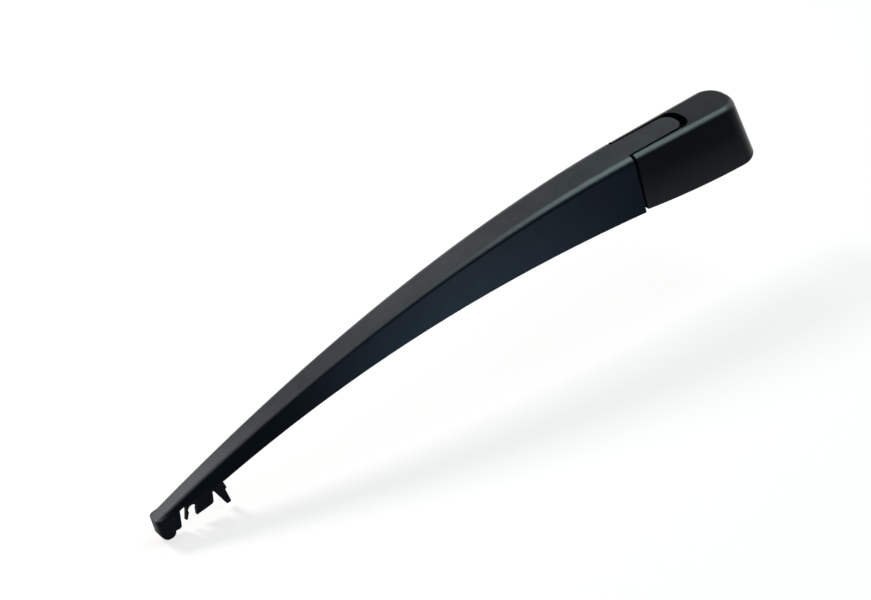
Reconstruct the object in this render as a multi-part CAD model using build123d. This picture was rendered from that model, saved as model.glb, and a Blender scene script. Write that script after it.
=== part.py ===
from build123d import *
import math
import os

# Rear wiper arm. X runs from the spindle to the tip, Y to the side and Z up along the spindle.
# The origin is on the spindle axis, at the bottom face of the mounting head. Millimetres.

# Outer form of the arm
arm_reach = 300.6         # spindle axis to the end of the nose
parting_x = 49.3          # spindle axis to the gap between cap and arm, on the top line
parting_gap = 1.55        # width of that gap
parting_lean = 6.0        # lean of the gap towards the tip, degrees from upright
parting_round = 0.3       # rounding of the arm's edge along the gap
head_top = 20.9           # height of the top line at the gap
tip_top = -49.9           # height of the top line at the nose
arm_bow = 12.4            # rise of the arched top line above its chord
head_half = 9.2           # half width of the flat top at the gap, measured to the sharp corner
tip_half = 3.0            # the same at the nose
head_depth = 26.4         # depth of the side walls at the gap
tip_depth = 7.0           # depth at the nose
depth_ease = 0.71         # how much the depth law sags between the two ends
side_flare = 12.0         # outward lean of the side walls, degrees
head_edge = 3.5           # radius of the long top edges at the gap
tip_edge = 1.1            # radius of the long top edges at the nose
arm_wall = 1.9            # side wall thickness
arm_roof = 2.3            # roof thickness
tip_solid = 44.6          # length of the solid tip beyond the open channel

# Ribs in the channel
rib_wall = 1.5
rib_pitch = 20.0
rib_first = 85.0
rib_recess = 2.0          # ribs stop this far above the lower edge of the side walls
bulkhead_x = 53.0         # cross wall behind the gap
bulkhead_floor = 9.5      # lower edge of the bulkhead

# Cap over the mounting head
cap_rear = 25.8           # spindle axis to the rear of the skirt
cap_crown_rear = 13.0     # spindle axis to the rear of the top
cap_rise = 0.072          # climb of the top line towards the rear
skirt_front_z = -4.4      # height of the skirt's lower edge at the gap
skirt_sag = 0.9           # how far that edge dips below its front end
skirt_lift = 1.6          # how far its rear end rises above its front end
skirt_front_half = 14.6   # half width of the skirt at the gap
skirt_rear_half = 17.4    # half width of the skirt where its rear corners begin
skirt_corner = 14.6       # plan radius of the skirt's rear corners
crown_half = 10.3         # half width of the top where its rear corners begin
crown_corner = 9.0        # plan radius of the top's rear corners
cap_wall = 2.0
rim_wall = 0.7            # extra thickness of the rim along the gap
rim_length = 5.0          # how far that rim reaches back from the gap
cap_corner = 2.0          # radius of the cap's lower front corners
cap_rib = 1.5             # thickness of the ribs that locate the cap on the head
cap_slack = 0.1           # gap between those ribs and the head
notch_gap = 0.8           # gap beside the tongue
notch_room = 4.2          # gap at the tongue's end

# Tongue and neck of the arm
tongue_half = 6.2
tongue_end = 17.0         # spindle axis to the end of the tongue
tongue_end_half = 5.7
tongue_round = 5.0        # plan radius of the tongue's end corners
tongue_wall = 2.6
neck_web = 2.2            # thickness of the two webs under the tongue
neck_floor = 10.3         # lower edge of the webs
neck_front = 66.0         # where the webs run out into the roof

# Hinge between arm and head
hinge_x = 26.3
hinge_z = 14.5
hinge_pin_radius = 2.5
pin_chamfer = 0.4
bush_wall = 1.0
bush_fit = 0.03           # running clearance of the pin in its bushes
knuckle_radius = 6.0
ear_radius = 5.2
fork_gap = 0.35           # clearance between the arm's knuckle and each ear
arm_lift = 50.0           # degrees from rest to the raised stop
stop_gap = 0.15           # gap between the arm's heel and its stop on the head
heel_floor = 9.5

# Mounting head
boss_radius = 9.8
boss_height = 12.0
bore_radius = 4.2         # spindle hole
head_slack = 0.5          # clearance between the head and the inside of the cap
deck_height = 11.0

# Spring and its link
lever = 12.0              # hinge axis to anchor pin
spring_drop = 3.8         # fall of the spring's line towards the tip, degrees
anchor_radius = 1.75
wire_sides = 6            # faces round each wire
link_wire = 1.0           # wire radius of the link
link_play = 0.23          # free play of the anchor pin in the link's eye
link_length = 34.0        # anchor pin to the link's front eye
front_eye = 2.6           # mean radius of the front eye
eye_wrap = 310.0          # degrees that each eye goes round
eye_steps = 15            # sections round each eye
spring_span = 101.0       # anchor pin to spring pin
coil_radius = 3.9
coil_wire = 0.9
coil_turns = 17
coil_steps = 10           # sections for each turn
loop_radius = 2.9         # mean radius of the spring's end hooks
hook_open = 30.0          # degrees that each hook stays open
hook_steps = 9            # sections round each hook
hook_clear = 0.2          # play of each hook on what it holds
spring_pin_radius = 1.5
bracket_wall = 2.0
bracket_gap = 2.6         # half distance between the two brackets
bracket_radius = 3.8

# Nose and blade claws
shelf_depth = 3.8         # depth of the side walls over the claws
nose_length = 8.0
nose_drop = 10.6          # top line to the underside of the nose
nose_rake = 10.0          # degrees that the nose leans back on its way down
nose_toe = 3.8            # radius under the nose, in front
nose_heel = 2.4           # the same, behind
nose_half = 3.7
nose_round = 2.4          # plan radius of the nose's corners
claw_wall = 1.5           # thickness of the claw plate
seat_setback = 18.2       # end of the nose to the axis of the blade's cross pin
seat_drop = 3.8           # the same, down from the top line's end
seat_radius = 2.0
seat_throat = 3.6
claw_drop = 7.9           # lower end of the claws, down from the top line's end
finger_wall = 1.2         # spring finger in front of the pin seat
finger_tip = 0.8
finger_lean = 0.9         # how far the finger's end leans towards the nose
relief_slot = 2.8         # slot that lets the finger bend
heel_rise = 0.8           # rise of the nose plate's underside towards that slot
block_length = 8.4        # block behind the pin seat
block_corner = 3.6
block_round = 1.5
web_drop = 0.5            # lower edge of the web between block and prong, measured the same way
prong_gap = 0.6           # gap between block and prong
prong_root = 3.2
prong_tip = 2.3
prong_round = 0.7         # radius of the prong's end corners
prong_barb = 0.7          # step on the back of the prong
prong_drop = 2.0          # how much further down than the block the prong reaches
prong_lean = 5.4          # how far the prong leans back on its way down

cutter = 120.0            # size of cutting blocks, more than any section of the part
flare = math.tan(math.radians(side_flare))


def along(x):
    """Share of the way from the gap, 0, to the nose, 1."""
    return (x - parting_x) / (arm_reach - parting_x)


def top_z(x):
    """Top line of the arm: a chord with a parabolic bow."""
    t = along(x)
    return head_top + (tip_top - head_top) * t + 4 * arm_bow * t * (1 - t)


def cap_z(x):
    """Top line of the cap and of the tongue, which climbs evenly towards the rear."""
    return head_top + cap_rise * (parting_x - x)


def depth(x):
    t = along(x)
    return tip_depth + (head_depth - tip_depth) * (1 - t) * (1 - depth_ease * t * t)


def edge_z(x):
    """Lower edge of the side walls."""
    return top_z(x) - depth(x)


def half_width(x):
    return head_half + (tip_half - head_half) * along(x)


def cross_plane(x):
    """Plane across the arm, with its own x along Y and its own y along Z."""
    return Plane(origin=(x, 0, 0), x_dir=(0, 1, 0), z_dir=(1, 0, 0))


def side_sketch(*points):
    """Filled outline in the middle plane, from points given as (x, z)."""
    return Plane.XZ * make_face(Polyline(*points, close=True))


def section(x, wall=0.0, roof=0.0, drop=0.0):
    """Cross section of the arm, or of its channel when given a wall and a roof."""
    radius = head_edge + (tip_edge - head_edge) * along(x)
    top = top_z(x) - roof
    floor = edge_z(x) - drop
    upper = half_width(x) + roof * flare - wall / math.cos(math.radians(side_flare))
    lower = upper + (top - floor) * flare
    outline = make_face(Polyline((-lower, floor), (lower, floor), (upper, top), (-upper, top), close=True))
    corners = outline.vertices().group_by(Axis.Y)[-1]
    return cross_plane(x) * fillet(corners, max(radius - wall, tip_edge / 2))


def stations(first, last, count):
    return [first + (last - first) * i / (count - 1) for i in range(count)]


def cross_hole(at, radius):
    """Round hole right through, across the arm."""
    return Pos(at) * Rot(90, 0, 0) * Cylinder(radius, cutter)


def cross_pin(at, radius, half_length):
    """Round pin across the arm, with chamfered ends."""
    pin = Cylinder(radius, 2 * half_length)
    return Pos(at) * Rot(90, 0, 0) * chamfer(pin.edges().filter_by(GeomType.CIRCLE), pin_chamfer)


def gap_plane(offset):
    """Plane of the parting gap, moved towards the tip by the offset. Its normal points to the tip."""
    lean = math.radians(parting_lean)
    normal = Vector(math.cos(lean), 0, -math.sin(lean))
    return Plane(origin=Vector(parting_x, 0, head_top) + normal * offset, x_dir=(0, 1, 0), z_dir=normal)


# Arm: channel, ribs and bulkhead
arm_start = parting_x - head_depth * math.tan(math.radians(parting_lean)) - parting_gap
channel_start = arm_start - parting_gap
channel_end = arm_reach - tip_solid
outer_form = loft([section(x) for x in stations(arm_start, arm_reach, 8)])
channel = loft([section(x, arm_wall, arm_roof, arm_roof) for x in stations(channel_start, channel_end, 7)])
arm_blank = split(outer_form, bisect_by=gap_plane(parting_gap / 2), keep=Keep.TOP)
end_edges = arm_blank.faces().sort_by(Axis.X)[0].edges().sort_by(Axis.Z)[1:]
shell = fillet(end_edges, parting_round) - channel

hinge = Vector(hinge_x, 0, hinge_z)
spring_way = Vector(math.cos(math.radians(spring_drop)), 0, -math.sin(math.radians(spring_drop)))
spring_down = Vector(spring_way.Z, 0, -spring_way.X)
half_lift = math.radians(arm_lift / 2)
anchor = hinge + (spring_down * math.cos(half_lift) + spring_way * math.sin(half_lift)) * lever
spring_pin_at = anchor + spring_way * spring_span
coil_outer = coil_radius + coil_wire


def rib(x, floor):
    """Cross rib at x, from the roof down to the given height."""
    height = top_z(x) - floor
    slab = Box(rib_wall, cutter, height, align=(Align.CENTER, Align.CENTER, Align.MIN))
    return Pos(x, 0, floor) * slab & outer_form


def spring_top(x):
    """Height that a rib over the spring has to stay above."""
    return anchor.Z + (x - anchor.X) * spring_way.Z / spring_way.X + coil_outer + rib_wall


arm_body = shell + rib(bulkhead_x, bulkhead_floor)
rib_count = int((channel_end - rib_first) / rib_pitch) + 1
for i in range(rib_count):
    rib_x = rib_first + i * rib_pitch
    over_spring = rib_x < spring_pin_at.X + bracket_radius + rib_wall
    arm_body += rib(rib_x, spring_top(rib_x) if over_spring else edge_z(rib_x) + rib_recess)

# Arm: neck with its tongue, knuckle and heel
neck_outline = side_sketch(
    (tongue_end, cap_z(tongue_end)),
    (tongue_end, cap_z(tongue_end) - tongue_wall),
    (hinge_x, cap_z(hinge_x) - tongue_wall),
    (hinge_x, neck_floor),
    (parting_x, neck_floor),
    (neck_front, top_z(neck_front) - arm_roof),
    (neck_front, top_z(neck_front) - arm_roof / 2),
    (parting_x, head_top),
)
heel_back = hinge_x - knuckle_radius - stop_gap
heel = side_sketch(
    (heel_back, heel_floor),
    (hinge_x, heel_floor),
    (hinge_x, hinge_z),
    (heel_back, hinge_z),
)
knuckle = Plane.XZ * Pos(hinge_x, hinge_z) * Circle(knuckle_radius)
neck = extrude(neck_outline + knuckle + heel, tongue_half, both=True)
core_half = tongue_half - neck_web
core = side_sketch(
    (hinge_x + knuckle_radius, 0),
    (neck_front, 0),
    (neck_front, top_z(neck_front) - arm_roof),
    (parting_x, head_top - tongue_wall),
    (hinge_x + knuckle_radius, cap_z(hinge_x + knuckle_radius) - tongue_wall),
)
neck -= extrude(core, core_half, both=True)
tongue_plan = make_face(
    Polyline(
        (neck_front, tongue_half),
        (tongue_end, tongue_end_half),
        (tongue_end, -tongue_end_half),
        (neck_front, -tongue_half),
        close=True,
    )
)
tongue_plan = fillet(tongue_plan.vertices().group_by(Axis.X)[0], tongue_round)
tongue_floor = cap_z(hinge_x) - tongue_wall
neck -= Pos(0, 0, tongue_floor) * extrude(
    Pos(tongue_end, 0) * Rectangle(2 * (parting_x - tongue_end), cutter) - tongue_plan, cutter
)
bush_radius = hinge_pin_radius + bush_fit + bush_wall
neck -= cross_hole(hinge, bush_radius)
arm_body += neck

# Arm: brackets for the spring pin
spring_pin_half = bracket_gap + bracket_wall + pin_chamfer
for side in (-1, 1):
    bracket = Plane.XZ * Pos(spring_pin_at.X, spring_pin_at.Z) * Circle(bracket_radius)
    bracket += Plane.XZ * Pos(spring_pin_at.X, spring_pin_at.Z) * Rectangle(
        2 * bracket_radius, cutter, align=(Align.CENTER, Align.MIN)
    )
    web = Pos(0, side * (bracket_gap + bracket_wall / 2), 0) * extrude(bracket, bracket_wall / 2, both=True)
    arm_body += web & outer_form
arm_body -= cross_pin(spring_pin_at, spring_pin_radius, spring_pin_half)

# Arm: nose and claw plate
seat_x = arm_reach - seat_setback
seat_z = tip_top - seat_drop
claw_floor = tip_top - claw_drop
web_floor = tip_top - web_drop
finger_back = seat_x + seat_throat / 2
slot_back = finger_back + finger_wall
slot_front = slot_back + relief_slot
block_front = seat_x - seat_throat / 2
block_back = block_front - block_length
prong_front = block_back - prong_gap
prong_back = prong_front - prong_root
prong_floor = claw_floor - prong_drop
prong_end = prong_front - prong_lean
nose_floor = tip_top - nose_drop
nose_back = arm_reach - nose_length
rake = math.radians(nose_rake)


def root_z(x):
    """Height inside the solid tip where the nose and the claws start."""
    return top_z(x) - shelf_depth / 2


shelf = side_sketch(
    (prong_back, edge_z(prong_back)),
    (slot_front, top_z(slot_front) - shelf_depth),
    (arm_reach, top_z(arm_reach) - shelf_depth),
    (arm_reach, claw_floor),
    (prong_back, claw_floor),
)
arm_body -= extrude(shelf, cutter, both=True)
nose = side_sketch(
    (arm_reach, tip_top),
    (arm_reach - nose_drop * math.tan(rake), nose_floor),
    (nose_back, nose_floor),
    (nose_back, root_z(nose_back)),
)
nose = fillet(nose.vertices().sort_by(Axis.X)[-2], nose_toe)
nose = fillet(nose.vertices().group_by(Axis.Z)[0].sort_by(Axis.X)[0], nose_heel)
arm_body += extrude(nose, nose_half, both=True)
end_plan = Pos(arm_reach - 2 * nose_round, 0) * Rectangle(cutter, cutter, align=(Align.MIN, Align.CENTER))
end_plan -= Pos(arm_reach, 0) * RectangleRounded(
    2 * nose_length, 2 * nose_half, nose_round, align=(Align.MAX, Align.CENTER)
)
rake_way = (-math.sin(rake), 0, -math.cos(rake))
arm_body -= extrude(Pos(0, 0, tip_top) * end_plan, 2 * nose_drop, dir=rake_way, both=True)
claws = side_sketch(
    (block_back, root_z(block_back)),
    (slot_back, root_z(slot_back)),
    (slot_back, seat_z),
    (finger_back + finger_lean + finger_tip, claw_floor),
    (finger_back + finger_lean, claw_floor),
    (finger_back, seat_z - seat_radius / 2),
    (finger_back, seat_z),
    (block_front, seat_z),
    (block_front, claw_floor),
    (block_back + block_corner, claw_floor + block_corner / 4),
    (block_back, claw_floor + block_corner / 2),
)
claws = fillet(claws.vertices().group_by(Axis.X)[0].sort_by(Axis.Z)[0], block_round)
claws += side_sketch(
    (slot_front, root_z(slot_front)),
    (slot_front, nose_floor + heel_rise),
    (slot_front + heel_rise, nose_floor),
    (nose_back + claw_wall, nose_floor),
    (nose_back + claw_wall, root_z(nose_back)),
)
prong_tail = prong_end - prong_tip
barb_x = (prong_back + prong_tail) / 2
barb_z = (edge_z(prong_back) + prong_floor) / 2
prong = side_sketch(
    (prong_back, root_z(prong_back)),
    (prong_back, edge_z(prong_back)),
    (barb_x - prong_barb, barb_z),
    (barb_x, barb_z - prong_barb),
    (prong_tail, prong_floor),
    (prong_end, prong_floor),
    (prong_front, web_floor),
    (block_back, web_floor),
    (block_back, root_z(block_back)),
)
claws += fillet(prong.vertices().group_by(Axis.Z)[0], prong_round)
claws -= Plane.XZ * Pos(seat_x, seat_z) * Circle(seat_radius)
arm_body += extrude(claws, claw_wall / 2, both=True)

# Cap
notch_half = tongue_half + notch_gap
notch_end = tongue_end - notch_room
crown_z = cap_z(-cap_rear)
blank_z = skirt_front_z - skirt_sag - cap_wall
blank_front = parting_x + 2 * parting_gap


def cap_outline(height, front, rear, corner, rear_x):
    """Plan outline of the cap at one height, with rounded rear corners."""
    outline = make_face(
        Polyline((blank_front, front), (-rear_x, rear), (-rear_x, -rear), (blank_front, -front), close=True)
    )
    return Pos(0, 0, height) * fillet(outline.vertices().group_by(Axis.X)[0], corner)


def cap_form(inset, roof):
    """Outer form of the cap, or a form inside it when given an inset and a roof."""
    crown_front = head_half - (crown_z - head_top) * flare
    blank = loft([
        cap_outline(blank_z, skirt_front_half - inset, skirt_rear_half - inset, skirt_corner - inset,
                    cap_rear - inset),
        cap_outline(crown_z, crown_front - inset, crown_half - inset, crown_corner - inset,
                    cap_crown_rear - inset),
    ], ruled=True)
    slope = math.atan(cap_rise)
    top = Plane(origin=(parting_x, 0, head_top - roof), x_dir=(0, 1, 0),
                z_dir=(math.sin(slope), 0, math.cos(slope)))
    return split(blank, bisect_by=top, keep=Keep.BOTTOM)


cap_solid = cap_form(0, 0)
crown_edges = cap_solid.faces().sort_by(Axis.Z)[-1].edges()
cap_solid = fillet([e for e in crown_edges if e.center().X < parting_x], head_edge)
cap_hollow = cap_form(cap_wall, cap_wall)
head_space = cap_form(cap_wall + head_slack, cap_wall + head_slack)
rim = split(cap_hollow, bisect_by=gap_plane(-parting_gap / 2 - rim_length), keep=Keep.TOP)
rim -= cap_form(cap_wall + rim_wall, cap_wall)
head_cap = split(cap_solid - cap_hollow + rim, bisect_by=gap_plane(-parting_gap / 2), keep=Keep.BOTTOM)
skirt_edge = ThreePointArc(
    (blank_front, skirt_front_z),
    ((blank_front - cap_rear) / 2, skirt_front_z - skirt_sag),
    (-cap_rear - cap_wall, skirt_front_z + skirt_lift),
)
below = Polyline(
    skirt_edge @ 1,
    (-cap_rear - cap_wall, 2 * blank_z),
    (blank_front, 2 * blank_z),
    skirt_edge @ 0,
)
head_cap -= extrude(Plane.XZ * make_face([skirt_edge, below]), cutter, both=True)
notch_plan = Pos(notch_end, 0) * Rectangle(cutter, 2 * notch_half, align=(Align.MIN, Align.CENTER))
notch_plan = fillet(notch_plan.vertices().group_by(Axis.X)[0], tongue_round + notch_gap)
head_cap -= Pos(0, 0, hinge_z) * extrude(notch_plan, cutter)
front_corners = head_cap.edges().filter_by(Axis.Y).group_by(Axis.Z)[0].group_by(Axis.X)[-1]
head_cap = fillet(front_corners, cap_corner)
rib_space = cap_hollow - cap_form(cap_wall + head_slack - cap_slack, cap_wall)
for rib_x in (boss_radius, hinge_x):
    rib_slab = Box(cap_rib, cutter, deck_height, align=(Align.CENTER, Align.CENTER, Align.MIN))
    head_cap += Pos(rib_x, 0, 0) * rib_slab & rib_space

# Mounting head
fork_inner = tongue_half + fork_gap
ear_edges = [
    Pos(hinge_x, hinge_z) * Circle(ear_radius).edge(),
    Pos(anchor.X, anchor.Z) * Circle(anchor.Z).edge(),
    Line((0, 0), (0, deck_height)),
    Line((0, deck_height), (boss_radius, deck_height)),
]
fork = Plane.XZ * make_hull(ear_edges)
fork_solid = extrude(fork, cutter, both=True) & head_space
wall_front = heel_back - stop_gap
slot_blank = Box(cutter, 2 * fork_inner, cutter, align=(Align.MIN, Align.CENTER, Align.CENTER))
slot = Pos(wall_front, 0, 0) * slot_blank
lift = math.radians(arm_lift)


def raised(x, z):
    """Where a point of the arm, given as (x, z), lies when the arm is raised to its stop."""
    dx = x - hinge_x
    dz = z - hinge_z
    return (
        hinge_x + dx * math.cos(lift) - dz * math.sin(lift),
        hinge_z + dx * math.sin(lift) + dz * math.cos(lift),
    )


under_end = raised(tongue_end, cap_z(tongue_end) - tongue_wall - 2 * fork_gap)
under_root = raised(hinge_x, cap_z(hinge_x) - tongue_wall - 2 * fork_gap)
pocket = side_sketch(
    (boss_radius, 2 * hinge_z),
    (boss_radius, under_end[1]),
    under_end,
    under_root,
    (under_root[0], 2 * hinge_z),
)
boss = Cylinder(boss_radius, boss_height, align=(Align.CENTER, Align.CENTER, Align.MIN))
mounting_head = fork_solid - slot - extrude(pocket, fork_inner, both=True) + boss
mounting_head -= Cylinder(bore_radius, 2 * boss_height)
mounting_head -= cross_hole(hinge, hinge_pin_radius)
mounting_head -= cross_hole(anchor, anchor_radius)


# Pins and bushes
def cap_half(x, z):
    """Half width of the cap's outer form at one place along the arm and one height."""
    level = (z - blank_z) / (crown_z - blank_z)
    crown_front = head_half - (crown_z - head_top) * flare
    back = blank_front - x
    low = skirt_front_half + (skirt_rear_half - skirt_front_half) * back / (blank_front + cap_rear)
    high = crown_front + (crown_half - crown_front) * back / (blank_front + cap_crown_rear)
    return low + (high - low) * level


def head_pin(at, radius):
    """Pin across the fork that ends inside the head's flared sides."""
    half_length = cap_half(at.X, at.Z + radius) - cap_wall - 2 * head_slack
    return cross_pin(at, radius, half_length)


hinge_pin = head_pin(hinge, hinge_pin_radius)
anchor_pin = head_pin(anchor, anchor_radius)
spring_pin = cross_pin(spring_pin_at, spring_pin_radius, spring_pin_half)
bush_length = tongue_half - fork_gap
bush_blank = Cylinder(bush_radius, bush_length) - Cylinder(hinge_pin_radius + bush_fit, bush_length)
hinge_bush_near = Pos(hinge + Vector(0, tongue_half - bush_length / 2, 0)) * Rot(90, 0, 0) * bush_blank
hinge_bush_far = Pos(hinge - Vector(0, tongue_half - bush_length / 2, 0)) * Rot(90, 0, 0) * bush_blank

# Spring link: a wire with an eye at each end, lying in the middle plane
arc_play = lever * (1 - math.cos(half_lift)) / 2
eye_radius = anchor_radius + math.hypot(arc_play, 2 * link_play) + link_play + link_wire
eye_at = anchor + spring_way * (2 * link_play) + spring_down * arc_play
front_at = anchor + spring_way * link_length


def in_plane(center, radius, degrees):
    """Point on a circle in the middle plane, counted from the spring's line towards its underside."""
    turn = math.radians(degrees)
    return center + (spring_way * math.cos(turn) + spring_down * math.sin(turn)) * radius


def wire_along(points, radius):
    """Faceted wire through the points, with sections carried along without twist."""
    sections = []
    across = Vector(0, 1, 0)
    for i, point in enumerate(points):
        ahead = points[min(i + 1, len(points) - 1)] - points[max(i - 1, 0)]
        across = across - ahead * (across.dot(ahead) / ahead.dot(ahead))
        sections.append(Plane(origin=point, x_dir=across, z_dir=ahead) * RegularPolygon(radius, wire_sides))
    return loft(sections, ruled=True)


eye_to_eye = front_at - eye_at
eye_turn = math.degrees(math.atan2(eye_to_eye.dot(spring_down), eye_to_eye.dot(spring_way)))
tangent_at = eye_turn + math.degrees(math.acos((eye_radius - front_eye) / eye_to_eye.length))
eye_turns = stations(eye_wrap, 0, eye_steps)
link_line = [in_plane(eye_at, eye_radius, tangent_at + turn) for turn in eye_turns]
link_line += [in_plane(front_at, front_eye, tangent_at - turn) for turn in reversed(eye_turns)]
spring_link = wire_along(link_line, link_wire)


# Tension spring: one wire through a rear hook, the coil and a front hook
def spring_point(s, y, down):
    """Point at s along the spring's line from the anchor pin, y to the side and some way down."""
    return anchor + spring_way * s + spring_down * down + Vector(0, y, 0)


rear_hook = link_length + front_eye - link_wire - coil_wire - hook_clear + loop_radius
front_hook = spring_span - loop_radius + coil_wire + spring_pin_radius + hook_clear
coil_start = rear_hook + loop_radius
coil_end = spring_span - bracket_radius - 2 * coil_wire - hook_clear
half_turn = math.pi
quarter_turn = math.pi / 2
spring_line = []
for angle in stations(math.radians(hook_open), half_turn + quarter_turn, hook_steps):
    spring_line.append(spring_point(
        rear_hook + loop_radius * math.cos(angle), loop_radius * math.sin(angle), 0))
coil_count = coil_turns * coil_steps
coil_angle = 2 * half_turn * coil_turns - quarter_turn
for i in range(coil_count + 1):
    angle = half_turn + coil_angle * i / coil_count
    spring_line.append(spring_point(
        coil_start + (coil_end - coil_start) * i / coil_count,
        coil_radius * math.cos(angle), coil_radius * math.sin(angle)))
for angle in stations(quarter_turn, math.radians(hook_open) - half_turn, hook_steps):
    spring_line.append(spring_point(
        front_hook + loop_radius * math.cos(angle), 0, loop_radius * math.sin(angle)))
tension_spring = wire_along(spring_line, coil_wire)

nodes = {
    "arm_body": arm_body,
    "head_cap": head_cap,
    "mounting_head": mounting_head,
    "hinge_pin": hinge_pin,
    "hinge_bush_near": hinge_bush_near,
    "hinge_bush_far": hinge_bush_far,
    "anchor_pin": anchor_pin,
    "spring_link": spring_link,
    "tension_spring": tension_spring,
    "spring_pin": spring_pin,
}
os.makedirs("parts", exist_ok=True)
for name, shape in nodes.items():
    export_step(shape, f"parts/{name}.step")
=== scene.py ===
import math

import bpy
import numpy as np
from mathutils import Matrix, Vector


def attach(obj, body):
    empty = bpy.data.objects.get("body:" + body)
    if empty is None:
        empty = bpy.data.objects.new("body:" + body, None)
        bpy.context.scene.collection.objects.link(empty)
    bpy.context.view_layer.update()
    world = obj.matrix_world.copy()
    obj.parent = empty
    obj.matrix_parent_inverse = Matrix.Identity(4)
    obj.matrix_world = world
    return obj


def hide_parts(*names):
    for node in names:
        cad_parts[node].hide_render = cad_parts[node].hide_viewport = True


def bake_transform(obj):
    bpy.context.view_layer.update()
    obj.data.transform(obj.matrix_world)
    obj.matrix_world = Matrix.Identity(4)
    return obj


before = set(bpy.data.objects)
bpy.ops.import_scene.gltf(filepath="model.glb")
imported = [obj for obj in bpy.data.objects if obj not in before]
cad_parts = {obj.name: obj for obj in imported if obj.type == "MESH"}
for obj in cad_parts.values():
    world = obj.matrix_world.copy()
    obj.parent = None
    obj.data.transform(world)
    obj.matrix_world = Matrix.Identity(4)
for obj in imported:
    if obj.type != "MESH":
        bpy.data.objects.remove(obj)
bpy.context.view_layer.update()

MM = 0.001
WHITE = (1.0, 1.0, 1.0)
FLOAT = "NodeSocketFloat"
VECTOR = "NodeSocketVector"

# Picture frame and viewpoint
IMAGE_WIDTH = 871
FOCAL_PIXELS = 2353.45
SENSOR_WIDTH = 36.0
CLIP_START = 0.01
AIM = Vector((0.14102, 0.0, -0.00972))
VIEW_DISTANCE = 1.0
TO_CAMERA = Vector((0.4941, 0.6627, 0.5627)).normalized()
PICTURE_RIGHT = Vector((-0.7829, 0.6207, -0.0437))
AIM_OFFSET = (24.0, 13.4)             # where the aim point lands, right of and above the middle, in pixels

# Floor and light, in metres and watts
FLOOR_HEIGHT = -0.0625
FLOOR_HALF = 6.0
FLOOR_ALBEDO = 0.28
FLOOR_SEEN = (0.75, 0.735, 0.73)      # glow of the floor up to FLOOR_NEAR; white from FLOOR_FAR on
FLOOR_NEAR = 0.35
FLOOR_FAR = 1.1
AMBIENT = 0.16
SOFTBOXES = (
    dict(name="far_softbox", direction=(0.43, -0.60, 0.68), distance=1.2, long_way=(1.0, 0.0, 0.0),
         size=(0.3, 0.3), power=10.6, colour=(1.0, 0.98, 0.96), aim=AIM),
    dict(name="middle_softbox", direction=(-0.10, -0.66, 0.74), distance=1.2, long_way=(1.0, 0.0, 0.0),
         size=(0.35, 0.35), power=1.8, colour=(1.0, 0.99, 0.98), aim=AIM),
    dict(name="ridge_softbox", direction=(-0.46, 0.20, 0.865), distance=1.1, long_way=(0.0, 0.98, -0.19),
         size=(1.4, 0.42), power=6.6, colour=(0.66, 1.0, 1.0), aim=AIM),
    dict(name="floor_softbox", direction=(0.0, 0.0, -1.0), distance=0.1, long_way=(0.974, -0.225, 0.0),
         size=(0.2, 0.1), power=0.18, colour=(0.2, 0.6, 1.0), aim=Vector((0.075, 0.14, 0.0395))),
)

# Pattern of the surfaces: noise scales per metre, and the noise values that count as none and as all
NOISE_SPAN = (0.3, 0.7)
CHIP_SCALE = 260.0
CHIP_SPAN = (0.4, 0.65)
CLOUD_SCALE = 90.0
CLOUD_SPAN = (0.35, 0.7)
CLOUD_LEVELS = (0.7, 1.1)
STREAK_SCALE = 120.0
STREAK_LEVELS = (0.85, 1.0)
EDGE_SAMPLES = 8

# Where dust, the painted sheen (coat on the ridge, the top and the walls) and grime lie. Each pair says where
# a share is 0 and where it is 1.
DUST_UPWARD = (0.55, 1.0)             # upward part of the normal
TOP_UPWARD = (0.6, 0.85)
RIDGE_UPWARD = (0.2, 0.45)
RIDGE_TURNED = (0.04, 0.35)           # sideways part of the normal, leaving the top
RIDGE_UPRIGHT = (0.90, 0.64)          # the same, coming up from the wall
WALL_SIDEWAYS = (0.95, 0.985)
WALL_REAR = (0.035, 0.14)             # places along the part
WALL_FRONT = (0.245, 0.155)
WALL_LOW = (0.012, -0.005)            # heights
GAP_LENGTHWAYS = (0.90, 0.96)         # lengthways part of the normal
GAP_REAR = (0.038, 0.042)             # places along the part
GAP_FRONT = (0.058, 0.054)

# Moulded plastic
PLASTIC_ROUGHNESS = (0.30, 0.38)
PLASTIC_GRAIN = 0.45                  # mm across
PLASTIC_GRAIN_DEPTH = 0.04 * MM
PLASTIC_BUMP = 0.35
PLASTIC_PATCH = 34.0                  # mm across
PLASTIC_EDGE = 0.35 * MM
PLASTIC_SPREAD = 0.35
# coat roughness of the painted sheen
PAINTED_SHEEN_ROUGHNESS = 0.3
SHEEN_LEVEL = 0.04
RUB_GAIN = 2.2                        # a rubbed edge is the faded colour times this, plus the lift
RUB_LIFT = 0.006
DUST_COLOUR = (0.16, 0.16, 0.155)
DUST_ROUGHNESS = 0.5

# Worked metal
METAL_GRAIN = 0.6                     # mm across
METAL_GRAIN_SHARE = 0.6
METAL_BUMP = 0.4
METAL_PATCH = 7.0                     # mm across
METAL_EDGE = 0.25 * MM
METAL_SPREAD = 0.3
EDGE_GAIN = 1.25
NO_STRETCH = (1.0, 1.0, 1.0)
TURNED_PIN = (1.0, 8.0, 1.0)

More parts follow.
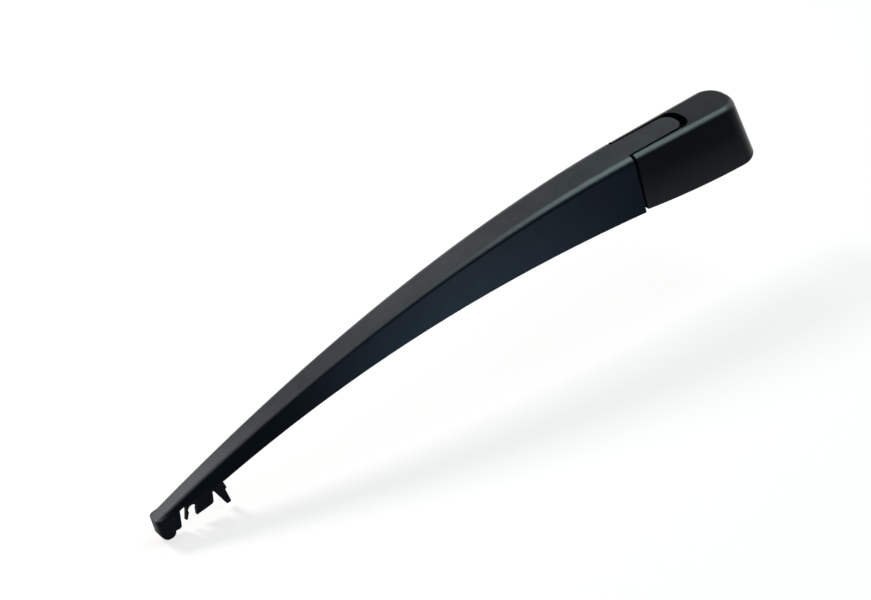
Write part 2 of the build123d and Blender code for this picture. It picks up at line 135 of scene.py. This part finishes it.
# Spring and link in round wire, in millimetres
HINGE = np.array((26.3, 0.0, 14.5))
LIFT_HALF = math.radians(25.0)
LEVER = 12.0
SPRING_DROP = math.radians(3.8)
ANCHOR_RADIUS = 1.75
LINK_WIRE = 1.0                       # radius of the wire
LINK_PLAY = 0.23
LINK_LENGTH = 34.0
FRONT_EYE = 2.6
EYE_WRAP = math.radians(310.0)
EYE_STEPS = 90
SPRING_SPAN = 101.0
COIL_RADIUS = 3.9
COIL_WIRE = 0.9                       # radius of the wire
COIL_TURNS = 17
TURN_STEPS = 60
LOOP_RADIUS = 2.9
HOOK_OPEN = math.radians(30.0)
HOOK_CLEAR = 0.2
HOOK_STEPS = 60
SPRING_PIN_RADIUS = 1.5
BRACKET_RADIUS = 3.8
WIRE_STEP = 0.3                       # distance between rings of points along a wire
WIRE_SIDES = 14
BEND_EASE = 0.55                      # how far a bend between two runs of the wire is spread
FRAME_EASE = 1.6                      # the same for the turn of the ring's start
DOME_ANGLES = np.radians(np.linspace(80.0, 10.0, 6))


# Shader building blocks
def node(tree, kind, inputs=None, **settings):
    """Adds a node, with its settings and with a value or a link for each named input."""
    made = tree.nodes.new(kind)
    for name, value in settings.items():
        setattr(made, name, value)
    for name, value in (inputs or {}).items():
        if isinstance(value, bpy.types.NodeSocket):
            tree.links.new(value, made.inputs[name])
        else:
            made.inputs[name].default_value = value
    return made


def math_node(tree, operation, first, second=0.0):
    return node(tree, "ShaderNodeMath", {0: first, 1: second}, operation=operation).outputs[0]


def product(tree, first, *others):
    for other in others:
        first = math_node(tree, "MULTIPLY", first, other)
    return first


def highest(tree, first, *others):
    for other in others:
        first = math_node(tree, "MAXIMUM", first, other)
    return first


def ramp(tree, value, ends, levels=(0.0, 1.0)):
    """Goes from the first level to the second while the value goes from one end to the other."""
    return node(tree, "ShaderNodeMapRange", {
        "Value": value, "From Min": ends[0], "From Max": ends[1], "To Min": levels[0], "To Max": levels[1],
    }).outputs["Result"]


def noise(tree, place, scale, detail, roughness=0.5):
    return node(tree, "ShaderNodeTexNoise", {
        "Vector": place, "Scale": scale, "Detail": detail, "Roughness": roughness}).outputs[0]


def parts(tree, vector):
    """The X, Y and Z outputs for a vector."""
    return node(tree, "ShaderNodeSeparateXYZ", {0: vector}).outputs


def surface_normal(tree):
    return node(tree, "ShaderNodeNewGeometry").outputs["Normal"]


def blend_colours(tree, share, low, high):
    """Colour that goes from low to high with the share."""
    mixer = node(tree, "ShaderNodeMix", {"Factor": share}, data_type="RGBA")
    for socket, value in zip((mixer.inputs[6], mixer.inputs[7]), (low, high)):
        if isinstance(value, bpy.types.NodeSocket):
            tree.links.new(value, socket)
        else:
            socket.default_value = (*value, 1.0)
    return mixer.outputs[2]


def new_group(name, inputs, outputs):
    """Empty shader group with named sockets. Returns the tree, what it is given and what it gives."""
    tree = bpy.data.node_groups.new(name, "ShaderNodeTree")
    for label, kind, value in inputs:
        socket = tree.interface.new_socket(label, in_out="INPUT", socket_type=kind)
        if value is not None:
            socket.default_value = value
    for label, kind in outputs:
        tree.interface.new_socket(label, in_out="OUTPUT", socket_type=kind)
    return tree, tree.nodes.new("NodeGroupInput").outputs, tree.nodes.new("NodeGroupOutput").inputs


# Shared effects
def make_grain_group():
    """Fine eroded skin of a mould, in a height, and slow patches, in a share from 0 to 1."""
    tree, given, out = new_group(
        "mould_grain",
        [("Place", VECTOR, None), ("Grain Size", FLOAT, 0.5), ("Patch Size", FLOAT, 30.0)],
        [("Height", FLOAT), ("Patches", FLOAT)],
    )
    grain_scale = math_node(tree, "DIVIDE", 1.0 / MM, given["Grain Size"])
    patch_scale = math_node(tree, "DIVIDE", 1.0 / MM, given["Patch Size"])
    fine = noise(tree, given["Place"], grain_scale, 2.0, 0.55)
    cells = node(tree, "ShaderNodeTexVoronoi", {
        "Vector": given["Place"], "Scale": grain_scale}, feature="SMOOTH_F1").outputs["Distance"]
    slow = noise(tree, given["Place"], patch_scale, 3.0)
    tree.links.new(product(tree, fine, cells), out["Height"])
    tree.links.new(ramp(tree, slow, NOISE_SPAN), out["Patches"])
    return tree


def make_edge_group():
    """Normals rounded over an edge of the given radius, and a share that is high on rubbed edges."""
    tree, given, out = new_group(
        "rubbed_edge",
        [("Place", VECTOR, None), ("Radius", FLOAT, 0.0004), ("Spread", FLOAT, 0.25)],
        [("Rounded", VECTOR), ("Rubbed", FLOAT)],
    )
    rounded = node(tree, "ShaderNodeBevel", {"Radius": given["Radius"]}, samples=EDGE_SAMPLES).outputs[0]
    turn = node(tree, "ShaderNodeVectorMath", {0: rounded, 1: surface_normal(tree)},
                operation="DOT_PRODUCT").outputs["Value"]
    chips = ramp(tree, noise(tree, given["Place"], CHIP_SCALE, 4.0), CHIP_SPAN)
    edge = math_node(tree, "DIVIDE", math_node(tree, "SUBTRACT", 1.0, turn), given["Spread"])
    rubbed = node(tree, "ShaderNodeClamp", {"Value": product(tree, edge, chips)}).outputs[0]
    tree.links.new(rounded, out["Rounded"])
    tree.links.new(rubbed, out["Rubbed"])
    return tree


def make_dust_group():
    """Thin dust that settles on faces that look up, in a share from 0 to 1."""
    tree, given, out = new_group(
        "settled_dust", [("Place", VECTOR, None), ("Amount", FLOAT, 0.2)], [("Dust", FLOAT)])
    upward = ramp(tree, parts(tree, surface_normal(tree))["Z"], DUST_UPWARD)
    cloud = ramp(tree, noise(tree, given["Place"], CLOUD_SCALE, 6.0, 0.65), CLOUD_SPAN, CLOUD_LEVELS)
    tree.links.new(product(tree, upward, cloud, given["Amount"]), out["Dust"])
    return tree


def make_painted_sheen_group():
    """Painted sheen in the coat weight: a painted highlight where the skin turns from top to side, a low
    sheen on the top, and painted sheen on the walls only in the middle of the length and toward the lower
    edge. A share from 0 to 1."""
    tree, given, out = new_group(
        "painted_sheen_coat",
        [("Place", VECTOR, None), ("Ridge Amount", FLOAT, 1.0), ("Top Amount", FLOAT, 0.1),
         ("Wall Amount", FLOAT, 0.2), ("Low Amount", FLOAT, 0.0)],
        [("Painted Sheen", FLOAT)],
    )
    facing = parts(tree, surface_normal(tree))
    sideways = math_node(tree, "ABSOLUTE", facing["Y"])
    spot = parts(tree, given["Place"])
    ridge = product(tree, ramp(tree, sideways, RIDGE_TURNED), ramp(tree, sideways, RIDGE_UPRIGHT),
                    ramp(tree, facing["Z"], RIDGE_UPWARD), given["Ridge Amount"])
    top = product(tree, ramp(tree, facing["Z"], TOP_UPWARD), given["Top Amount"])
    middle = product(tree, ramp(tree, spot["X"], WALL_REAR), ramp(tree, spot["X"], WALL_FRONT),
                     given["Wall Amount"])
    low = product(tree, ramp(tree, spot["Z"], WALL_LOW), given["Low Amount"])
    wall = product(tree, ramp(tree, sideways, WALL_SIDEWAYS), highest(tree, middle, low))
    streaks = ramp(tree, noise(tree, given["Place"], STREAK_SCALE, 3.0), NOISE_SPAN, STREAK_LEVELS)
    tree.links.new(product(tree, highest(tree, ridge, top, wall), streaks), out["Painted Sheen"])
    return tree


def make_gap_group():
    """Grime between cap and arm, on faces that look along the length there, in a share from 0 to 1."""
    tree, given, out = new_group("gap_grime", [("Place", VECTOR, None)], [("Grime", FLOAT)])
    lengthways = math_node(tree, "ABSOLUTE", parts(tree, surface_normal(tree))["X"])
    along = parts(tree, given["Place"])["X"]
    grime = product(tree, ramp(tree, lengthways, GAP_LENGTHWAYS),
                    ramp(tree, along, GAP_REAR), ramp(tree, along, GAP_FRONT))
    tree.links.new(grime, out["Grime"])
    return tree


def make_metal_group():
    """Skin of worked metal: lines packed closer along the axes that Stretch raises, in a height and in a
    share from 0 to 1."""
    tree, given, out = new_group(
        "drawn_metal",
        [("Place", VECTOR, None), ("Stretch", VECTOR, NO_STRETCH), ("Line Size", FLOAT, 0.2)],
        [("Height", FLOAT), ("Streaks", FLOAT)],
    )
    pulled = node(tree, "ShaderNodeVectorMath", {
        0: given["Place"], 1: given["Stretch"]}, operation="MULTIPLY").outputs[0]
    lines = noise(tree, pulled, math_node(tree, "DIVIDE", 1.0 / MM, given["Line Size"]), 3.0)
    tree.links.new(lines, out["Height"])
    tree.links.new(ramp(tree, lines, NOISE_SPAN), out["Streaks"])
    return tree


grain_group = make_grain_group()
edge_group = make_edge_group()
dust_group = make_dust_group()
painted_sheen_group = make_painted_sheen_group()
gap_group = make_gap_group()
metal_group = make_metal_group()


# Materials
def new_material(name):
    """Material with nodes. Returns it, its tree, its shader and the place on the object."""
    material = bpy.data.materials.new(name)
    material.use_nodes = True
    tree = material.node_tree
    shader = next(n for n in tree.nodes if n.type == "BSDF_PRINCIPLED")
    place = node(tree, "ShaderNodeTexCoord").outputs["Object"]
    return material, tree, shader, place


def use_group(tree, group, inputs):
    return node(tree, "ShaderNodeGroup", inputs, node_tree=group).outputs


def satin_plastic(name, deep, faded, dust, sheen_amounts, sheen_tint):
    """Moulded plastic: fine grain, slow patches of fading, rubbed edges, a little dust, a painted sheen and
    grime.

    The sheen amounts give the coat weight of the painted sheen on the ridge, the top, the walls and the foot
    of the walls.
    """
    material, tree, shader, place = new_material(name)
    grain = use_group(tree, grain_group, {
        "Place": place, "Grain Size": PLASTIC_GRAIN, "Patch Size": PLASTIC_PATCH})
    edge = use_group(tree, edge_group, {"Place": place, "Radius": PLASTIC_EDGE, "Spread": PLASTIC_SPREAD})
    film = use_group(tree, dust_group, {"Place": place, "Amount": dust})["Dust"]
    # coat weight that paints a highlight on the ridge and sheen on the top and walls
    sheen_share = use_group(tree, painted_sheen_group, {
        "Place": place, "Ridge Amount": sheen_amounts[0], "Top Amount": sheen_amounts[1], "Wall Amount": sheen_amounts[2],
        "Low Amount": sheen_amounts[3]})["Painted Sheen"]
    grime = use_group(tree, gap_group, {"Place": place})["Grime"]
    colour = blend_colours(tree, grain["Patches"], deep, faded)
    colour = blend_colours(tree, edge["Rubbed"], colour, tuple(RUB_GAIN * c + RUB_LIFT for c in faded))
    colour = blend_colours(tree, film, colour, DUST_COLOUR)
    roughness = ramp(tree, grain["Patches"], (0.0, 1.0), PLASTIC_ROUGHNESS)
    roughness = math_node(tree, "ADD", roughness, product(tree, film, DUST_ROUGHNESS))
    roughness = highest(tree, roughness, grime)
    bump = node(tree, "ShaderNodeBump", {
        "Strength": PLASTIC_BUMP, "Distance": PLASTIC_GRAIN_DEPTH, "Height": grain["Height"],
        "Normal": edge["Rounded"]})
    tree.links.new(colour, shader.inputs["Base Color"])
    tree.links.new(roughness, shader.inputs["Roughness"])
    tree.links.new(bump.outputs[0], shader.inputs["Normal"])
    tree.links.new(sheen_share, shader.inputs["Coat Weight"])
    shader.inputs["Coat Roughness"].default_value = PAINTED_SHEEN_ROUGHNESS
    shader.inputs["Specular IOR Level"].default_value = SHEEN_LEVEL
    shader.inputs["Specular Tint"].default_value = (*sheen_tint, 1.0)
    return material


def worked_metal(name, clean, dull, rough, stretch, line_size, line_depth):
    """Bare metal: drawn lines, dull patches of oxide and oil, and bright edges. The line's size and depth
    are in millimetres."""
    material, tree, shader, place = new_material(name)
    lines = use_group(tree, metal_group, {"Place": place, "Stretch": stretch, "Line Size": line_size})
    skin = use_group(tree, grain_group, {
        "Place": place, "Grain Size": METAL_GRAIN, "Patch Size": METAL_PATCH})
    edge = use_group(tree, edge_group, {"Place": place, "Radius": METAL_EDGE, "Spread": METAL_SPREAD})
    colour = blend_colours(tree, skin["Patches"], clean, dull)
    colour = blend_colours(tree, edge["Rubbed"], colour, tuple(min(1.0, EDGE_GAIN * c) for c in clean))
    roughness = ramp(tree, lines["Streaks"], (0.0, 1.0), rough)
    height = math_node(tree, "ADD", lines["Height"], product(tree, skin["Height"], METAL_GRAIN_SHARE))
    bump = node(tree, "ShaderNodeBump", {
        "Strength": METAL_BUMP, "Distance": line_depth * MM, "Height": height, "Normal": edge["Rounded"]})
    tree.links.new(colour, shader.inputs["Base Color"])
    tree.links.new(roughness, shader.inputs["Roughness"])
    tree.links.new(bump.outputs[0], shader.inputs["Normal"])
    shader.inputs["Metallic"].default_value = 1.0
    return material


# Both plastics carry a painted sheen in their coat: a ridge highlight, a lift on the top, sheen mid-wall on
# the arm and at the foot of the cap's walls.
arm_plastic = satin_plastic(
    "arm_plastic", deep=(0.0012, 0.0032, 0.0068), faded=(0.0022, 0.0048, 0.0095),
    dust=0.175, sheen_amounts=(0.9, 0.12, 0.36, 0.0), sheen_tint=(0.80, 0.92, 1.0))
cap_plastic = satin_plastic(
    "cap_plastic", deep=(0.0011, 0.0018, 0.0028), faded=(0.002, 0.003, 0.0042),
    dust=0.10, sheen_amounts=(0.9, 0.07, 0.0, 0.26), sheen_tint=(0.85, 0.95, 1.0))
cast_metal = worked_metal(
    "cast_metal", clean=(0.50, 0.51, 0.52), dull=(0.30, 0.30, 0.31), rough=(0.42, 0.62),
    stretch=NO_STRETCH, line_size=0.9, line_depth=0.08)
plated_steel = worked_metal(
    "plated_steel", clean=(0.62, 0.62, 0.61), dull=(0.45, 0.44, 0.41), rough=(0.22, 0.38),
    stretch=TURNED_PIN, line_size=0.5, line_depth=0.02)
bush_bronze = worked_metal(
    "bush_bronze", clean=(0.55, 0.38, 0.17), dull=(0.36, 0.23, 0.10), rough=(0.35, 0.55),
    stretch=NO_STRETCH, line_size=0.35, line_depth=0.03)
spring_wire = worked_metal(
    "spring_wire", clean=(0.36, 0.36, 0.37), dull=(0.20, 0.19, 0.18), rough=(0.28, 0.45),
    stretch=NO_STRETCH, line_size=0.25, line_depth=0.02)

finishes = {
    "arm_body": arm_plastic,
    "head_cap": cap_plastic,
    "mounting_head": cast_metal,
    "hinge_pin": plated_steel,
    "anchor_pin": plated_steel,
    "spring_pin": plated_steel,
    "hinge_bush_near": bush_bronze,
    "hinge_bush_far": bush_bronze,
    "spring_link": spring_wire,
    "tension_spring": spring_wire,
}
for name, material in finishes.items():
    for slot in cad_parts[name].material_slots:
        slot.material = material


# Round wire: way runs from the anchor pin along the spring, down is square to it, side is across
way = np.array((math.cos(SPRING_DROP), 0.0, -math.sin(SPRING_DROP)))
down = np.array((way[2], 0.0, -way[0]))
side = np.array((0.0, 1.0, 0.0))
anchor = HINGE + LEVER * (math.cos(LIFT_HALF) * down + math.sin(LIFT_HALF) * way)


def eased(rows, spread):
    """Rows averaged along the wire with a bell of the given width in mm; the two ends stay where they are."""
    count = int(3 * spread / WIRE_STEP) + 1
    bell = np.exp(-0.5 * (np.arange(-count, count + 1) * WIRE_STEP / spread) ** 2)
    before = 2 * rows[:1] - rows[count:0:-1]
    after = 2 * rows[-1:] - rows[-2:-count - 2:-1]
    padded = np.concatenate((before, rows, after))
    return np.stack([np.convolve(column, bell / bell.sum(), "valid") for column in padded.T], axis=1)


def evenly(points, references):
    """Points and reference directions at equal steps along the line through the points."""
    run = np.concatenate(([0.0], np.cumsum(np.linalg.norm(np.diff(points, axis=0), axis=1))))
    places = np.linspace(0.0, run[-1], int(run[-1] / WIRE_STEP) + 1)
    return [np.stack([np.interp(places, run, column) for column in rows.T], axis=1)
            for rows in (points, references)]


def round_wire(name, points, references, radius):
    """Round wire: a circle of the radius carried along the eased line, with domed ends.

    Ring point = centre + r(u) * (cos v * first + sin v * second), where first is the reference made
    square to the line's direction and second is direction x first. Each dome adds rings of radius
    r * cos(a) at r * sin(a) beyond the end, for a from 10 degrees to 80, and a face closes the last.
    """
    points, references = evenly(points, references)
    centres = eased(points, BEND_EASE)
    ahead = np.gradient(centres, axis=0)
    ahead /= np.linalg.norm(ahead, axis=1, keepdims=True)
    first = eased(references, FRAME_EASE)
    first -= ahead * np.sum(first * ahead, axis=1, keepdims=True)
    first /= np.linalg.norm(first, axis=1, keepdims=True)
    dome = DOME_ANGLES[:, None]
    reach = np.sin(dome) * radius
    rear_dome = centres[:1] - reach * ahead[:1]
    front_dome = centres[-1:] + reach[::-1] * ahead[-1:]
    centres = np.concatenate((rear_dome, centres, front_dome))
    ring_size = np.concatenate((np.cos(dome), np.ones((len(ahead), 1)), np.cos(dome[::-1]))) * radius
    rows = np.clip(np.arange(len(centres)) - len(dome), 0, len(ahead) - 1)
    first, ahead = first[rows], ahead[rows]
    second = np.cross(ahead, first)
    turn = np.linspace(0.0, 2.0 * math.pi, WIRE_SIDES, endpoint=False)[None, :, None]
    ring = np.cos(turn) * first[:, None] + np.sin(turn) * second[:, None]
    surface = (centres[:, None] + ring_size[:, None] * ring) * MM
    index = np.arange(len(centres) * WIRE_SIDES).reshape(-1, WIRE_SIDES)
    across = np.roll(index, -1, axis=1)
    quads = np.stack((index[:-1], across[:-1], across[1:], index[1:]), axis=2).reshape(-1, 4)
    ends = [index[0, ::-1].tolist(), index[-1].tolist()]
    mesh = bpy.data.meshes.new(name)
    mesh.from_pydata(surface.reshape(-1, 3).tolist(), [], quads.tolist() + ends)
    mesh.polygons.foreach_set("use_smooth", np.ones(len(mesh.polygons), dtype=bool))
    wire = bpy.data.objects.new(name, mesh)
    bpy.context.collection.objects.link(wire)
    return wire


def in_spring_frame(along, sideways, below):
    """Points at a distance along the spring's line from the anchor pin, to the side of it and below it."""
    return anchor + np.outer(along, way) + np.outer(sideways, side) + np.outer(below, down)


def add_spring():
    """Tension spring: a flat rear hook, a helix y = R cos a, z = R sin a, and an upright front hook."""
    rear_hook = LINK_LENGTH + FRONT_EYE - LINK_WIRE - COIL_WIRE - HOOK_CLEAR + LOOP_RADIUS
    front_hook = SPRING_SPAN - LOOP_RADIUS + COIL_WIRE + SPRING_PIN_RADIUS + HOOK_CLEAR
    coil_start = rear_hook + LOOP_RADIUS
    coil_end = SPRING_SPAN - BRACKET_RADIUS - 2 * COIL_WIRE - HOOK_CLEAR
    rear = np.linspace(HOOK_OPEN, 1.5 * math.pi, HOOK_STEPS)
    coil = np.linspace(math.pi, math.pi * (2 * COIL_TURNS + 0.5), TURN_STEPS * COIL_TURNS)
    front = np.linspace(0.5 * math.pi, HOOK_OPEN - math.pi, HOOK_STEPS)
    still = np.zeros(HOOK_STEPS)
    points = np.concatenate((
        in_spring_frame(rear_hook + LOOP_RADIUS * np.cos(rear), LOOP_RADIUS * np.sin(rear), still),
        in_spring_frame(np.linspace(coil_start, coil_end, len(coil)),
                        COIL_RADIUS * np.cos(coil), COIL_RADIUS * np.sin(coil)),
        in_spring_frame(front_hook + LOOP_RADIUS * np.cos(front), still, LOOP_RADIUS * np.sin(front)),
    ))
    references = np.concatenate((
        np.tile(down, (HOOK_STEPS, 1)), np.tile(way, (len(coil), 1)), np.tile(side, (HOOK_STEPS, 1))))
    spring = round_wire("round_tension_spring", points, references, COIL_WIRE)
    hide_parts("tension_spring")
    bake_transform(spring)
    return spring


def add_link():
    """Link: a wire round a rear eye, straight on, and back round a front eye, in the middle plane."""
    arc_play = LEVER * (1 - math.cos(LIFT_HALF)) / 2
    rear_eye = ANCHOR_RADIUS + math.hypot(arc_play, 2 * LINK_PLAY) + LINK_PLAY + LINK_WIRE
    rear_at = np.array((2 * LINK_PLAY, arc_play))
    span = np.array((LINK_LENGTH, 0.0)) - rear_at
    leave = math.atan2(span[1], span[0]) + math.acos((rear_eye - FRONT_EYE) / np.linalg.norm(span))
    turns = np.linspace(EYE_WRAP, 0.0, EYE_STEPS)
    rear = leave + turns
    front = leave - turns[::-1]
    along = np.concatenate((rear_at[0] + rear_eye * np.cos(rear), LINK_LENGTH + FRONT_EYE * np.cos(front)))
    below = np.concatenate((rear_at[1] + rear_eye * np.sin(rear), FRONT_EYE * np.sin(front)))
    points = in_spring_frame(along, np.zeros(len(along)), below)
    link = round_wire("round_spring_link", points, np.tile(side, (len(points), 1)), LINK_WIRE)
    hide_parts("spring_link")
    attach(link, "link")
    return link


for piece in (add_spring(), add_link()):
    piece.data.materials.append(spring_wire)


# Stage
def seen_share(tree):
    """1 for rays that show the background to the eye, directly or in a reflection, and 0 for light rays."""
    path = node(tree, "ShaderNodeLightPath").outputs
    return highest(tree, path["Is Camera Ray"], path["Is Glossy Ray"], path["Is Transmission Ray"])


def add_floor():
    """Floor that takes shadows, glows toward the eye and is clear from below."""
    mesh = bpy.data.meshes.new("floor")
    reach = FLOOR_HALF
    corners = [(-reach, -reach, FLOOR_HEIGHT), (reach, -reach, FLOOR_HEIGHT),
               (reach, reach, FLOOR_HEIGHT), (-reach, reach, FLOOR_HEIGHT)]
    mesh.from_pydata(corners, [], [(0, 1, 2, 3)])
    floor = bpy.data.objects.new("floor", mesh)
    bpy.context.collection.objects.link(floor)
    material = bpy.data.materials.new("floor_paint")
    material.use_nodes = True
    tree = material.node_tree
    tree.nodes.clear()
    paint = node(tree, "ShaderNodeBsdfDiffuse", {"Color": (FLOOR_ALBEDO,) * 3 + (1.0,)})
    place = node(tree, "ShaderNodeTexCoord").outputs["Object"]
    away = node(tree, "ShaderNodeVectorMath", {0: place}, operation="LENGTH").outputs["Value"]
    seen = blend_colours(tree, ramp(tree, away, (FLOOR_NEAR, FLOOR_FAR)), FLOOR_SEEN, WHITE)
    glow = node(tree, "ShaderNodeEmission", {"Color": seen, "Strength": seen_share(tree)})
    upper = node(tree, "ShaderNodeAddShader", {0: paint.outputs[0], 1: glow.outputs[0]})
    under = node(tree, "ShaderNodeBsdfTransparent")
    below = node(tree, "ShaderNodeNewGeometry").outputs["Backfacing"]
    both = node(tree, "ShaderNodeMixShader", {0: below, 1: upper.outputs[0], 2: under.outputs[0]})
    node(tree, "ShaderNodeOutputMaterial", {"Surface": both.outputs[0]})
    mesh.materials.append(material)


def add_world():
    """White surroundings to the eye, and a dim even light."""
    world = bpy.data.worlds.new("studio")
    bpy.context.scene.world = world
    world.use_nodes = True
    tree = world.node_tree
    tree.nodes.clear()
    strength = ramp(tree, seen_share(tree), (0.0, 1.0), (AMBIENT, 1.0))
    sky = node(tree, "ShaderNodeBackground", {"Color": (*WHITE, 1.0), "Strength": strength})
    node(tree, "ShaderNodeOutputWorld", {"Surface": sky.outputs[0]})


def add_softbox(name, direction, distance, long_way, size, power, colour, aim):
    """Rectangular light at a distance from the point that it faces, with its length along long_way."""
    lamp = bpy.data.lights.new(name, "AREA")
    lamp.shape = "RECTANGLE"
    lamp.size, lamp.size_y = size
    lamp.energy = power
    lamp.color = colour
    box = bpy.data.objects.new(name, lamp)
    bpy.context.collection.objects.link(box)
    back = Vector(direction).normalized()
    length = Vector(long_way)
    length = (length - back * length.dot(back)).normalized()
    turn = Matrix((length, back.cross(length), back)).transposed()
    box.matrix_world = Matrix.Translation(aim + back * distance) @ turn.to_4x4()
    box.visible_camera = False


def add_camera():
    """Camera that looks at the aim point from the picture's viewpoint."""
    lens = bpy.data.cameras.new("view")
    lens.sensor_width = SENSOR_WIDTH
    lens.lens = FOCAL_PIXELS / IMAGE_WIDTH * SENSOR_WIDTH
    lens.shift_x = -AIM_OFFSET[0] / IMAGE_WIDTH
    lens.shift_y = -AIM_OFFSET[1] / IMAGE_WIDTH
    lens.clip_start = CLIP_START
    camera = bpy.data.objects.new("view", lens)
    bpy.context.collection.objects.link(camera)
    back = TO_CAMERA
    right = (PICTURE_RIGHT - back * PICTURE_RIGHT.dot(back)).normalized()
    up = back.cross(right)
    turn = Matrix((right, up, back)).transposed()
    camera.matrix_world = Matrix.Translation(AIM + back * VIEW_DISTANCE) @ turn.to_4x4()
    bpy.context.scene.camera = camera


add_floor()
add_world()
for softbox in SOFTBOXES:
    add_softbox(**softbox)
add_camera()
bpy.context.scene.view_settings.view_transform = "Standard"
